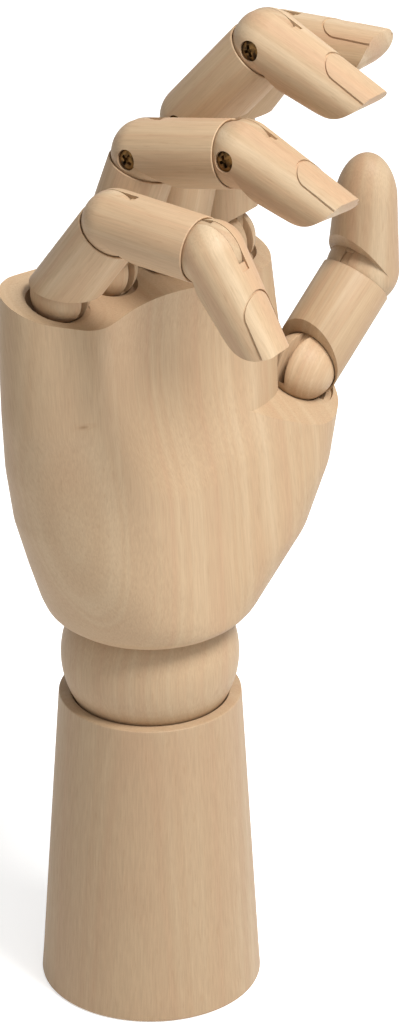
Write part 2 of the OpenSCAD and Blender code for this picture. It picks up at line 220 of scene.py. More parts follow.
def hardwood(name, place, seed, pith, band, tone, lathe=0.3, knot=None, figure=1.0):
    """Wood for one piece. place is the piece's own frame, and the grain runs along its Z. The pith
    lies pith from that axis. band is the width of the growth bands and figure how strongly they
    show, tone how bright the wood is, and lathe how deep its turning marks are."""
    material, tree, surface = shader(name)
    where = add(tree, "ShaderNodeTexCoord").outputs["Object"]
    back = place.to_3x3().inverted()
    shift = -(back @ place.to_translation())
    own = result(tree, "ShaderNodeMapping",
                 {"Vector": where, "Scale": (1 / MM,) * 3, "Rotation": back.to_euler("XYZ"),
                  "Location": (shift.x + pith[0], shift.y + pith[1], shift.z + FRESH_WOOD * seed)})
    # growth bands: distance from the pith, swayed by a slow noise
    sway = noise(tree, {"Vector": stretched(tree, own, (0.05, 0.05, 0.012)), "Scale": 1.0,
                        "Detail": 2.0})
    rings = calc(tree, "MULTIPLY_ADD", sway, 4.0, length_of(tree, stretched(tree, own, (1, 1, 0.008))))
    if knot:
        gap = result(tree, "ShaderNodeVectorMath", {0: where, 1: tuple(v * MM for v in knot)},
                     operation="SUBTRACT")
        gap = length_of(tree, stretched(tree, gap, (1, 1, 2.8)))
        near = spread(tree, gap, 0.4 * MM, 4.2 * MM, 1.0, 0.0, interpolation_type="SMOOTHERSTEP")
        rings = calc(tree, "MULTIPLY_ADD", near, 2.5, rings)
    growth = noise(tree, {"W": calc(tree, "MULTIPLY", rings, 1 / band), "Scale": 1.0, "Detail": 3.0,
                          "Roughness": 0.62}, noise_dimensions="1D")
    growth = spread(tree, growth, 0.0, 1.0, 0.5 - figure / 2, 0.5 + figure / 2)
    base = add(tree, "ShaderNodeValToRGB", {"Fac": growth})
    ramp = base.color_ramp
    ramp.elements[0].position, ramp.elements[0].color = 0.26, linear(ROSE)
    ramp.elements[1].position, ramp.elements[1].color = 0.74, linear(PALE)
    ramp.elements.new(0.5).color = linear(HONEY)
    # slow drift of tone: patches 20 mm wide and 50 mm long
    drift = noise(tree, {"Vector": stretched(tree, own, (0.05, 0.05, 0.02)), "Scale": 1.0,
                         "Detail": 3.0})
    colour = blend(tree, spread(tree, drift, 0.42, 0.72, 0.0, 0.45), base.outputs["Color"], linear(ROSE))
    # fibres: 0.4 mm wide and 11 mm long; dark dashes: 0.6 mm wide and 4.5 mm long
    fibre = noise(tree, {"Vector": stretched(tree, own, (2.6, 2.6, 0.09)), "Scale": 1.0,
                         "Detail": 4.0, "Roughness": 0.6})
    dash = noise(tree, {"Vector": stretched(tree, own, (1.7, 1.7, 0.22)), "Scale": 1.0,
                        "Detail": 1.0})
    line = spread(tree, fibre, 0.3, 0.7, 0.91 * tone, 1.05 * tone)
    colour = result(tree, "ShaderNodeVectorMath", {0: colour, "Scale": line}, operation="SCALE")
    colour = blend(tree, spread(tree, dash, 0.62, 0.76, 0.0, 0.2), colour, linear(BROWN))
    if knot:
        core = spread(tree, gap, 0.3 * MM, 1.5 * MM, 0.6, 0.0)
        colour = blend(tree, core, colour, linear(KNOT))
    tree.links.new(colour, surface.inputs["Base Color"])
    tree.links.new(spread(tree, fibre, 0.3, 0.7, 0.62, 0.5), surface.inputs["Roughness"])
    surface.inputs["Specular IOR Level"].default_value = 0.35
    # lathe marks: faint rings along the piece, on top of the fibres
    along = add(tree, "ShaderNodeSeparateXYZ", {0: own}).outputs["Z"]
    marks = noise(tree, {"W": along, "Scale": 1.4, "Detail": 2.0}, noise_dimensions="1D")
    height = calc(tree, "MULTIPLY_ADD", marks, lathe, fibre)
    bump = result(tree, "ShaderNodeBump", {"Height": height, "Strength": 0.35, "Distance": 0.12 * MM})
    tree.links.new(bump, surface.inputs["Normal"])
    return material


def metal(name, code, dark, roughness, grit):
    """Metal with a fine drawn or plated grain; grit is its size in millimetres."""
    material, tree, surface = shader(name)
    where = add(tree, "ShaderNodeTexCoord").outputs["Object"]
    grain = noise(tree, {"Vector": where, "Scale": 1 / MM / grit, "Detail": 3.0})
    blotch = noise(tree, {"Vector": where, "Scale": 700.0, "Detail": 2.0})
    colour = blend(tree, spread(tree, blotch, 0.4, 0.65, 0.0, 1.0), linear(code), linear(dark))
    tree.links.new(colour, surface.inputs["Base Color"])
    surface.inputs["Metallic"].default_value = 1.0
    rough = spread(tree, grain, 0.0, 1.0, roughness - 0.08, roughness + 0.14)
    tree.links.new(rough, surface.inputs["Roughness"])
    bump = result(tree, "ShaderNodeBump", {"Height": grain, "Strength": 0.2, "Distance": 0.02 * MM})
    tree.links.new(bump, surface.inputs["Normal"])
    return material


# Brass-plated screw gone brown with age; drawn steel pins; oil-tempered spring wire; laid cable.
AGED_SCREW = metal("aged_brass_plated_screw", "#7d5d36", "#2e2115", 0.46, 0.25)
DRAWN_PIN = metal("drawn_steel_pin", "#b9babc", "#98999c", 0.3, 0.2)
SPRING_WIRE = metal("oil_tempered_spring_wire", "#7d7f84", "#5c5d62", 0.34, 0.2)
LAID_CABLE = metal("galvanised_laid_cable", "#a9abae", "#85878b", 0.4, 0.2)


# Mesh making
def arc(cr, cz, radius, start, end, steps):
    """Profile points (r, z) on an arc; 0 degrees points away from the axis, 90 up."""
    angles = np.radians(np.linspace(start, end, steps + 1))
    return [(max(0.0, cr + radius * math.cos(a)), cz + radius * math.sin(a)) for a in angles]


def show(name, mesh):
    piece = bpy.data.objects.new(name, mesh)
    bpy.context.scene.collection.objects.link(piece)
    return piece


def from_bmesh(name, shape):
    mesh = bpy.data.meshes.new(name)
    bmesh.ops.recalc_face_normals(shape, faces=shape.faces)
    shape.to_mesh(mesh)
    shape.free()
    return show(name, mesh)


def turned(name, profile, segments=96, loop=False):
    """Turns a profile of (r, z) points round Z. It ends on the axis, or closes on itself."""
    shape = bmesh.new()
    rows = []
    for r, z in profile:
        if r < 1e-6:
            rows.append([shape.verts.new((0, 0, z))] * segments)
        else:
            rows.append([shape.verts.new((r * math.cos(2 * math.pi * k / segments),
                                          r * math.sin(2 * math.pi * k / segments), z))
                         for k in range(segments)])
    if loop:
        rows.append(rows[0])
    for low, high in zip(rows, rows[1:]):
        for k in range(segments):
            n = (k + 1) % segments
            corners = []
            for v in (low[k], low[n], high[n], high[k]):
                if v not in corners:
                    corners.append(v)
            if len(corners) > 2:
                shape.faces.new(corners)
    return from_bmesh(name, shape)


def slab(name, low, high, place=None):
    shape = bmesh.new()
    bmesh.ops.create_cube(shape, size=1)
    size = [h - l for l, h in zip(low, high)]
    middle = [(h + l) / 2 for l, h in zip(low, high)]
    bmesh.ops.scale(shape, vec=size, verts=shape.verts)
    bmesh.ops.translate(shape, vec=middle, verts=shape.verts)
    if place:
        bmesh.ops.transform(shape, matrix=place, verts=shape.verts)
    return from_bmesh(name, shape)


def rod(name, low, high, radius, place=None, segments=64, top=None):
    """Cylinder or cone along Z, or along X or Y when place turns it."""
    shape = bmesh.new()
    bmesh.ops.create_cone(shape, cap_ends=True, segments=segments, radius1=radius,
                          radius2=radius if top is None else top, depth=high - low)
    bmesh.ops.translate(shape, vec=(0, 0, (high + low) / 2), verts=shape.verts)
    if place:
        bmesh.ops.transform(shape, matrix=place, verts=shape.verts)
    return from_bmesh(name, shape)


def ball(name, radius, at=(0, 0, 0), segments=96):
    side = arc(0, 0, radius, -90, 90, segments // 2)[1:-1]
    piece = turned(name, [(0, -radius)] + side + [(0, radius)], segments)
    piece.data.transform(Matrix.Translation(at))
    return piece


ALONG_X = spin("Y", 90)


def baked(piece):
    """The piece's mesh with its modifiers applied."""
    bpy.context.view_layer.update()
    graph = bpy.context.evaluated_depsgraph_get()
    mesh = bpy.data.meshes.new_from_object(piece.evaluated_get(graph))
    piece.modifiers.clear()
    piece.data = mesh
    return piece


def carve(piece, cutters, how="DIFFERENCE"):
    for cutter in cutters:
        step = piece.modifiers.new("cut", "BOOLEAN")
        step.operation = how
        step.solver = "MANIFOLD"
        step.object = cutter
    baked(piece)
    for cutter in cutters:
        bpy.data.objects.remove(cutter)
    return piece


def scraps(shape, fewest=6):
    """The faces of every island that is too small to be a solid."""
    seen, loose = set(), []
    for face in shape.faces:
        if face in seen:
            continue
        seen.add(face)
        island = [face]
        for near in island:
            for edge in near.edges:
                for other in edge.link_faces:
                    if other not in seen:
                        seen.add(other)
                        island.append(other)
        if len(island) < fewest:
            loose += island
    return loose


def folds(shape):
    """Faces that lie back to back on the same points."""
    twins = {}
    for face in shape.faces:
        twins.setdefault(frozenset(face.verts), []).append(face)
    return [face for same in twins.values() if len(same) > 1 for face in same]


def weld(piece, gap, split=False):
    """Joins points closer than gap, and drops faces with no area, folded pairs and loose scraps.
    With split the faces become triangles."""
    shape = bmesh.new()
    shape.from_mesh(piece.data)
    bmesh.ops.remove_doubles(shape, verts=shape.verts, dist=gap)
    bmesh.ops.dissolve_degenerate(shape, edges=shape.edges, dist=gap)
    if split:
        bmesh.ops.triangulate(shape, faces=shape.faces)
    bmesh.ops.delete(shape, geom=folds(shape), context="FACES")
    bmesh.ops.delete(shape, geom=scraps(shape), context="FACES")
    shape.to_mesh(piece.data)
    shape.free()


def ease(piece, width, segments=2, angle=38):
    """Breaks the sharp edges by hand-sanding width."""
    weld(piece, 0.004)
    step = piece.modifiers.new("ease", "BEVEL")
    step.width = width
    step.segments = segments
    step.limit_method = "ANGLE"
    step.angle_limit = math.radians(angle)
    step.use_clamp_overlap = True
    return baked(piece)


def finish(piece, place, body, node, material, smooth=32):
    """Puts a finished piece in its place, in metres, on its body, in the place of its solid."""
    weld(piece, 0.002, split=True)
    mesh = piece.data
    mesh.transform(Matrix.Scale(MM, 4) @ place)
    mesh.materials.clear()
    mesh.materials.append(material)
    mesh.polygons.foreach_set("use_smooth", [True] * len(mesh.polygons))
    mesh.set_sharp_from_angle(angle=math.radians(smooth))
    mesh.update()
    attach(piece, body)
    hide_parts(node)


# Finger pieces
def cup_profile(length, r):
    """From the outer wall over a thin rim and down into the cup, to the axis."""
    seat = r + CUP_EASE
    z = length - RIM_BACK
    inner = math.sqrt(seat * seat - RIM_BACK * RIM_BACK)
    half = (r - inner) / 2
    lip = [(r - half + half * math.cos(a), z - half + half * math.sin(a))
           for a in np.radians([0, 30, 60, 90, 120, 150])]
    start = math.degrees(math.asin(-(RIM_BACK + half) / seat))
    return lip + arc(0, length, seat, start, -90, 20)


def hinge_cutters(r, side):
    """Round slot for the tongue, its square saw end on the finger's back, and the screw's seat."""
    slot = rod("slot", -SLOT_W / 2, SLOT_W / 2, r + SLOT_EASE, ALONG_X, 96)
    kerf = slab("kerf", (-SLOT_W / 2, r - KERF_DEPTH, 0.5), (SLOT_W / 2, r + 3, KERF_END))
    seat = rod("seat", r - HEAD_SINK - HEAD_H, r + 1, HEAD_R + 0.1,
               Matrix.Scale(side, 4, (1, 0, 0)) @ ALONG_X, 48)
    return [slot, kerf, seat]


def notch_wedge():
    """Block that is cut off the palm side, so that the piece can bend."""
    return slab("notch", (-20, -40, -40), (20, 0, 0), spin("X", -NOTCH_DEG))


def hinge_body(name, profile, r):
    """A turned bar with the notch cut, joined to its rounded hinge end."""
    bar = turned(name, [(0, 0.0), (r * 0.5, 0.0), (r, 0.0)] + profile, 104)
    carve(bar, [notch_wedge()])
    return carve(bar, [ball("end", r - 0.004)], "UNION")


def first_piece(name, length, r):
    """Cups the knuckle ball at its lower end, cut back on the slant towards the palm side."""
    seat = r - BALL_STEP + CUP_GAP
    low = arc(0, 0, seat, 90, math.degrees(math.asin(SKIRT / seat)), 40)
    bar = turned(name, low + [(r, SKIRT)] + cup_profile(length, r))
    rake = math.degrees(math.atan((LIP - HEEL) / (2 * r)))
    under = slab("rake", (-20, -20, -20), (20, 20, 0), lift((LIP + HEEL) / 2) @ spin("X", -rake))
    wide, deep = TONGUE_T / 2 + GLUE, FOOT_HALF + GLUE
    pocket = slab("pocket", (-wide, -deep, 0), (wide, deep, FOOT + GLUE))
    return ease(carve(bar, [under, pocket]), 0.12)


def middle_piece(name, length, r, side):
    return ease(carve(hinge_body(name, cup_profile(length, r), r), hinge_cutters(r, side)), 0.1)


def palm_side(length, r, radius=14.5, tip_y=5.4, start=5.0):
    """Outline (y, z) of what is planed off a fingertip: a flat that runs into a rounded end."""
    cy = radius - (r - 2.1)
    cz = length - math.sqrt(radius ** 2 - (tip_y - cy) ** 2)
    gap = math.hypot(cy + r, cz - start)
    line = math.atan2(cz - start, cy + r) + math.asin(radius / gap)
    run = math.sqrt(gap ** 2 - radius ** 2)
    meet = (-r + run * math.cos(line), start + run * math.sin(line))
    first = math.atan2(meet[1] - cz, meet[0] - cy) % (2 * math.pi)
    last = math.atan2(length - cz, tip_y - cy)
    bend = [(cy + radius * math.cos(a), cz + radius * math.sin(a))
            for a in np.linspace(first, last, 40)]
    waste = [(20, length), (20, length + 20), (-20, length + 20), (-20, start)]
    return [(-r - 0.01, start)] + bend + waste


def nail_patch(length, half, low):
    """A round-ended block over the tip's back; half is half its width."""
    bow = [(half * math.cos(a), low + half - half * math.sin(a)) for a in np.linspace(0, math.pi, 25)]
    patch = plate("patch", bow + [(-half, length + 3), (half, length + 3)], 20)
    patch.data.transform(Matrix.Translation((0, 10.0, 0)) @ spin("Z", 90))
    return patch


def nail_cutters(length, r, end_r, half=5.3, start=15.5):
    """A carved nail: a patch of the tip's back sunk below the cone, and a narrow groove round it."""
    slope = (r - end_r) / (length + 2)
    low = length - start
    groove = carve(nail_patch(length, half, low), [nail_patch(length + 1, half - 0.5, low + 0.5)])
    cutters = []
    for cutter, depth in ((nail_patch(length, half - 0.1, low + 0.1), 0.16), (groove, 0.5)):
        core = rod("core", -10, length + 10, r + 10 * slope - depth,
                   None, 96, r - (length + 10) * slope - depth)
        cutters.append(carve(cutter, [core]))
    return cutters


def tip_piece(name, length, r, side, slim, domed):
    """A cone with its palm side planed to a rounded end, or domed, and a nail on its back."""
    end_r = r - slim
    bar = hinge_body(name, [(end_r, length + 2), (0, length + 2)], r)
    if domed:
        round_at = length - 14
        wide = r - slim * round_at / (length + 2) + 0.02
        dome = ball("dome", 1, segments=128)
        dome.data.transform(lift(round_at) @ Matrix.Diagonal((wide, wide, 14, 1)))
        carve(bar, [carve(slab("crown", (-15, -15, round_at), (15, 18, length + 20)), [dome])])
    else:
        carve(bar, [plate("planed", palm_side(length, r), 34)])
    flat = slab("flat", (-15, 0, -1), (15, 12, 29),
                Matrix.Translation((0, r - 0.6, length - 17)) @ spin("X", 7.8))
    ease(carve(bar, [flat] + hinge_cutters(r, side)), 0.1)
    return carve(bar, nail_cutters(length, r, end_r))


def tongue_outline(radius, half, foot, steps=40):
    """Points (y, z): a round head at the hinge and a straight foot."""
    head = [(radius * math.cos(a), radius * math.sin(a)) for a in np.linspace(0, math.pi, steps + 1)]
    return head + [(-half, 0), (-half, foot), (half, foot), (half, 0)]


def plate(name, outline, thick):
    """A flat plate, thick along X, with its outline given as (y, z) points."""
    shape = bmesh.new()
    points = []
    for y, z in outline:
        if not points or math.dist(points[-1], (y, z)) > 0.01:
            points.append((y, z))
    if math.dist(points[-1], points[0]) < 0.01:
        points.pop()
    face = shape.faces.new([shape.verts.new((-thick / 2, y, z)) for y, z in points])
    out = bmesh.ops.extrude_face_region(shape, geom=[face])
    bmesh.ops.translate(shape, vec=(thick, 0, 0),
                        verts=[v for v in out["geom"] if isinstance(v, bmesh.types.BMVert)])
    return from_bmesh(name, shape)


def tongue_piece(name, length, r):
    """Tongue glued in a finger piece's cup, drawn in that piece's frame."""
    head_r, half, foot = r - 0.12, r - 0.85, -POCKET + 0.1
    piece = plate(name, tongue_outline(head_r, half, foot), TONGUE_T)
    carve(piece, [rod("bore", -2, 2, SCREW_R + 0.06, ALONG_X, 32)])
    ease(piece, 0.12)
    piece.data.transform(lift(length))
    return piece


def base_tongue_piece(name):
    """Tongue that turns in the knuckle ball, glued in the first finger piece."""
    outline = [(y, -z) for y, z in tongue_outline(5, FOOT_HALF, -FOOT)]
    piece = plate(name, outline, TONGUE_T)
    carve(piece, [rod("bore", -2, 2, SCREW_R + 0.06, ALONG_X, 32)])
    return ease(piece, 0.12)


def knuckle_piece(name, r):
    """Ball with a slot for the base tongue and a bore for its pin."""
    piece = ball(name, r - BALL_STEP)
    carve(piece, [slab("slot", (-SLOT_W / 2, -10, -5.4), (SLOT_W / 2, 10, 14.6)),
                  rod("bore", -6, 6, SCREW_R + GLUE, ALONG_X, 32)])
    return ease(piece, 0.2)


# Repeated hardware, made by node trees
def group(name, sizes):
    """An empty node tree with a named input for each size."""
    tree = bpy.data.node_groups.new(name, "GeometryNodeTree")
    tree.interface.new_socket("Geometry", in_out="OUTPUT", socket_type="NodeSocketGeometry")
    for size, value in sizes.items():
        socket = tree.interface.new_socket(size, in_out="INPUT", socket_type="NodeSocketFloat")
        socket.default_value = value
    return tree, add(tree, "NodeGroupInput").outputs


def grow(name, tree, sizes):
    """Runs a node tree with its named sizes and keeps the result as a plain mesh."""
    piece = show(name, bpy.data.meshes.new(name))
    step = piece.modifiers.new("grow", "NODES")
    step.node_group = tree
    for item in tree.interface.items_tree:
        if item.in_out == "INPUT" and item.name in sizes:
            step[item.identifier] = float(sizes[item.name])
    return baked(piece)


def vector(tree, **parts):
    return result(tree, "ShaderNodeCombineXYZ", parts)


def raised(tree, geometry, z):
    return result(tree, "GeometryNodeTransform",
                  {"Geometry": geometry, "Translation": vector(tree, Z=z)})


def joined(tree, parts):
    join = tree.nodes.new("GeometryNodeJoinGeometry")
    for part in parts:
        tree.links.new(part, join.inputs[0])
    return join.outputs[0]


def spiral(tree, resolution, turns, radius, height):
    return result(tree, "GeometryNodeCurveSpiral",
                  {"Resolution": resolution, "Rotations": turns, "Start Radius": radius,
                   "End Radius": radius, "Height": height})


def drawn_out(tree, path, radius, sides):
    """A wire of this radius along a path."""
    section = result(tree, "GeometryNodeCurvePrimitiveCircle", {"Resolution": sides, "Radius": radius})
    return result(tree, "GeometryNodeCurveToMesh",
                  {"Curve": path, "Profile Curve": section, "Fill Caps": True})


def close_tree(tree, geometry, material):
    real = result(tree, "GeometryNodeRealizeInstances", {"Geometry": geometry})
    done = result(tree, "GeometryNodeSetMaterial", {"Geometry": real, "Material": material})
    add(tree, "NodeGroupOutput", {0: done})
    return tree


def spring_tree(name, eyes):
    """Coil along Z from 0 to Length, with an eye at each end where eyes is true."""
    named = {"Coil radius": 2.0, "Wire radius": 0.4, "Length": 18.0, "Turns": 16.0}
    if eyes:
        named["Eye"] = 1.0
    tree, size = group(name, named)
    parts = [spiral(tree, 22, size["Turns"], size["Coil radius"], size["Length"])]
    if eyes:
        eye = result(tree, "GeometryNodeCurvePrimitiveCircle",
                     {"Resolution": 24, "Radius": size["Coil radius"]})
        eye = result(tree, "GeometryNodeTransform", {"Geometry": eye, "Rotation": (math.pi / 2, 0, 0)})
        small = vector(tree, X=size["Eye"], Y=size["Eye"], Z=size["Eye"])
        eye = result(tree, "GeometryNodeTransform", {"Geometry": eye, "Scale": small})
        parts = [raised(tree, eye, size["Length"]), eye] + parts
    wire = drawn_out(tree, joined(tree, parts), size["Wire radius"], 10)
    return close_tree(tree, result(tree, "GeometryNodeSetShadeSmooth", {"Geometry": wire}), SPRING_WIRE)


def cable_tree():
    """Six strands laid round a core, along Z from 0 to Length."""
    tree, size = group("laid_cable", {"Radius": 1.6, "Length": 42.0, "Lays": 2.0})
    strand_r = calc(tree, "MULTIPLY", size["Radius"], 1 / 3)
    strand = spiral(tree, 40, size["Lays"], calc(tree, "MULTIPLY", strand_r, 2.0), size["Length"])
    seats = result(tree, "GeometryNodeMeshCircle", {"Vertices": 6, "Radius": 0.0001})
    angle = calc(tree, "MULTIPLY", result(tree, "GeometryNodeInputIndex"), math.pi / 3)
    strands = result(tree, "GeometryNodeInstanceOnPoints",
                     {"Points": seats, "Instance": strand, "Rotation": vector(tree, Z=angle)})
    strands = result(tree, "GeometryNodeRealizeInstances", {"Geometry": strands})
    core = result(tree, "GeometryNodeCurvePrimitiveLine",
                  {"Start": (0, 0, 0), "End": vector(tree, Z=size["Length"])})
    wire = drawn_out(tree, joined(tree, (core, strands)), strand_r, 10)
    return close_tree(tree, result(tree, "GeometryNodeSetShadeSmooth", {"Geometry": wire}), LAID_CABLE)


def screw_tree():
    """Domed cross-recess head with a ridged shank. The head faces +Z at z = 0, the shank runs down."""
    tree, size = group("cross_screw", {"Head radius": 2.45, "Head height": 1.5, "Shank radius": 1.2,
                                       "Length": 13.0, "Recess": 1.5})
    head = result(tree, "GeometryNodeMeshCylinder",
                  {"Vertices": 48, "Radius": size["Head radius"], "Depth": size["Head height"]})
    head = raised(tree, head, calc(tree, "MULTIPLY", size["Head height"], -0.5))
    # a large ball trims the head to a low dome
    dome_r = calc(tree, "MULTIPLY", size["Head radius"], 2.2)
    dome = result(tree, "GeometryNodeMeshUVSphere", {"Segments": 96, "Rings": 96, "Radius": dome_r})
    dome = raised(tree, dome, calc(tree, "MULTIPLY", dome_r, -1.0))
    domed = add(tree, "GeometryNodeMeshBoolean", {"Mesh 2": head}, operation="INTERSECT", solver="EXACT")
    tree.links.new(dome, domed.inputs["Mesh 2"])
    # the recess: two crossed blades and a round pit
    reach = calc(tree, "MULTIPLY", size["Recess"], 2.0)
    blade = result(tree, "GeometryNodeMeshCube", {"Size": vector(tree, X=reach, Y=0.78, Z=2.2)})
    other = result(tree, "GeometryNodeTransform", {"Geometry": blade, "Rotation": (0, 0, math.pi / 2)})
    pit = result(tree, "GeometryNodeMeshCylinder", {"Vertices": 16, "Radius": 0.62, "Depth": 2.4})
    cross = add(tree, "GeometryNodeMeshBoolean", {"Mesh 1": domed.outputs[0], "Mesh 2": blade},
                operation="DIFFERENCE", solver="EXACT")
    tree.links.new(other, cross.inputs["Mesh 2"])
    tree.links.new(pit, cross.inputs["Mesh 2"])
    # the shank: a plain core with a thread on its last 4 mm
    ridge = 0.12
    core_r = calc(tree, "ADD", size["Shank radius"], -ridge)
    shank = result(tree, "GeometryNodeMeshCylinder",
                   {"Vertices": 24, "Radius": core_r, "Depth": calc(tree, "ADD", size["Length"], -1.4)})
    middle = calc(tree, "MULTIPLY", size["Length"], -0.5)
    shank = raised(tree, shank, calc(tree, "ADD", middle, -1.3))
    thread = drawn_out(tree, spiral(tree, 16, 5.0, core_r, 4.0), ridge, 5)
    thread = raised(tree, thread, calc(tree, "MULTIPLY_ADD", size["Length"], -1.0, 0.4))
    return close_tree(tree, joined(tree, (thread, shank, cross.outputs[0])), AGED_SCREW)


KNUCKLE_SPRING = spring_tree("knuckle_spring", True)
WRIST_SPRING = spring_tree("wrist_spring", False)
CABLE = cable_tree()
SCREW = screw_tree()


def screw_piece(name, r, side):
    piece = grow(name, SCREW, {"Head radius": HEAD_R, "Head height": HEAD_H, "Shank radius": SCREW_R,
                               "Length": 2 * r - 3.15, "Recess": 1.5})
    piece.data.transform(Matrix.Translation((side * (r - HEAD_SINK), 0, 0)) @ spin("Y", 90 * side)
                         @ spin("Z", 43))
    return piece


def knuckle_spring_piece(name, r):
    """Coil with an eye at each end, from its pin in the palm up to the knuckle ball."""
    pin_depth = 26
    top = -math.sqrt((r - BALL_STEP + 0.4) ** 2 - 2.0 ** 2)
    piece = grow(name, KNUCKLE_SPRING, {"Coil radius": 2.15, "Wire radius": 0.42,
                                        "Length": pin_depth - 2.2 + top, "Turns": 17, "Eye": 0.6})
    piece.data.transform(lift(-pin_depth + 1.8))
    return piece


# Forearm, wrist and palm
def forearm_piece():
    """Turned in one: rounded foot, tapered side, thin rim, wrist cup and stepped bore."""
    foot, rim, bolt_r, step_z = 0.9, 0.35, 2.6, 45
    lean = (FOREARM_TOP_R - FOREARM_BASE_R) / FOREARM_H
    outer = arc(FOREARM_BASE_R - foot, foot, foot, -90, 0, 6)
    outer += [(FOREARM_BASE_R + lean * z, z) for z in np.linspace(6, FOREARM_H - 1, 12)]
    outer += arc(FOREARM_TOP_R - rim, FOREARM_H - rim, rim, 0, 90, 4)
    rim_in = math.sqrt(SEAT_R ** 2 - (WRIST_Z - FOREARM_H) ** 2)
    start = math.degrees(math.asin((FOREARM_H - 0.15 - WRIST_Z) / SEAT_R))
    cup = [(rim_in + 0.12, FOREARM_H)] + arc(0, WRIST_Z, SEAT_R, start, -83.2, 40)
    bore = [(bolt_r, cup[-1][1]), (bolt_r, step_z), (BORE_R, step_z), (BORE_R, 0.3), (BORE_R + 0.3, 0)]
    return turned("forearm_wood", outer + cup + bore, 160, loop=True)


def wrist_ball_piece():
    """Ball with a hole for the cable, flared towards both ends."""
    flare = [(2.2 + 3.8 * t, 10 + 12.5 * t) for t in np.linspace(0, 0.86, 6)]
    start = math.degrees(math.asin(21.0 / WRIST_R))
    upper = arc(0, 0, WRIST_R, start, 0, 30)
    lower = arc(0, 0, WRIST_R, 0, -start, 30)[1:]
    profile = flare + upper + lower + [(r, -z) for r, z in reversed(flare)]
    return turned("wrist_ball_wood", profile, 128, loop=True)


DISCS_BLOCK = [(0, 0, 101.7, 21.3), (0, 0, 104.5, 25.2), (-3, 0, 109, 24.8), (5, 0, 109, 25.3),
               (-12, 0.5, 121, 21.2), (15, 0, 121, 21.8), (-20, 1.5, 135, 18.3), (22, 1, 135, 17.5),
               (-25, 2, 150, 16.4), (26.5, 2, 150, 15), (-27.6, 2.2, 165, 15.2),
               (29.3, 2.2, 165, 14.4), (-31.3, 6, 184, 10.3), (-26, 0.8, 184, 8.9), (30.3, 2, 184, 11),
               (-31.1, 6.1, 198, 10), (-26, 0.9, 198, 8.8), (30.3, 2, 194, 10.3)]
DISCS_ROOT = [(2, -0.5, 105, 24.5), (19, -4, 121, 23), (30, -8, 135, 18.4), (36.4, -10, 147, 14.6),
              (41.6, -10.7, 151, 11.8), (40.6, -10.4, 158, 11.4), (28, -2, 172, 12.5),
              (6, 0, 150, 15)]
SCOOP = (Vector((-4, -65.6, 180)), 60.0)
SCOOP_SOFT = 0.9


def wrapped(name, discs):
    """The tight skin round a set of level discs."""
    shape = bmesh.new()
    for x, y, z, r in discs:
        for k in range(64):
            a = 2 * math.pi * k / 64
            for rise in (0, 0.2):
                shape.verts.new((x + r * math.cos(a), y + r * math.sin(a), z + rise))
    out = bmesh.ops.convex_hull(shape, input=shape.verts)
    loose = [v for v in out["geom_interior"] + out["geom_unused"] if isinstance(v, bmesh.types.BMVert)]
    bmesh.ops.delete(shape, geom=list(set(loose)), context="VERTS")
    return from_bmesh(name, shape)


def relax(mesh, rounds):
    """Evens a mesh out without shrinking it."""
    n = len(mesh.vertices)
    co = np.empty(n * 3)
    mesh.vertices.foreach_get("co", co)
    co = co.reshape(-1, 3)
    ends = np.empty(len(mesh.edges) * 2, dtype=int)
    mesh.edges.foreach_get("vertices", ends)
    ends = ends.reshape(-1, 2)
    count = np.bincount(ends.ravel(), minlength=n)[:, None]
    for _ in range(rounds):
        for weight in (0.6, -0.62):
            total = np.zeros_like(co)
            np.add.at(total, ends[:, 0], co[ends[:, 1]])
            np.add.at(total, ends[:, 1], co[ends[:, 0]])
            co = co + weight * (total / count - co)
    mesh.vertices.foreach_set("co", co.ravel())
    mesh.update()


def socket_cutters(knuckle, r):
    """Seat of a knuckle ball, its opened mouth and the well for its spring."""
    seat = ball("seat", r - BALL_STEP + CUP_GAP)
    seat.data.transform(knuckle)
    opening = ball("opening", r + MOUTH_R - FINGER_R)
    carve(opening, [slab("under", (-20, -20, -40), (20, 20, -5.5))])
    opening.data.transform(knuckle)
    return [seat, opening, rod("well", -29, -5, 2.9, knuckle, 32)]


def hollow(mesh):
    """Sinks the palm's front below the knuckles into the scoop, with a soft edge round it."""
    centre, radius = SCOOP
    co = np.empty(len(mesh.vertices) * 3)
    mesh.vertices.foreach_get("co", co)
    co = co.reshape(-1, 3)
    off = co - np.array(centre)
    front = (co[:, 1] < 4) & (np.hypot(off[:, 0], off[:, 2]) < 0.98 * radius)
    across = np.sqrt(np.maximum(radius ** 2 - off[:, 0] ** 2 - off[:, 2] ** 2, 0))
    deep = centre.y + across[front] - co[front, 1]
    co[front, 1] += SCOOP_SOFT * np.logaddexp(0, deep / SCOOP_SOFT)
    mesh.vertices.foreach_set("co", co.ravel())


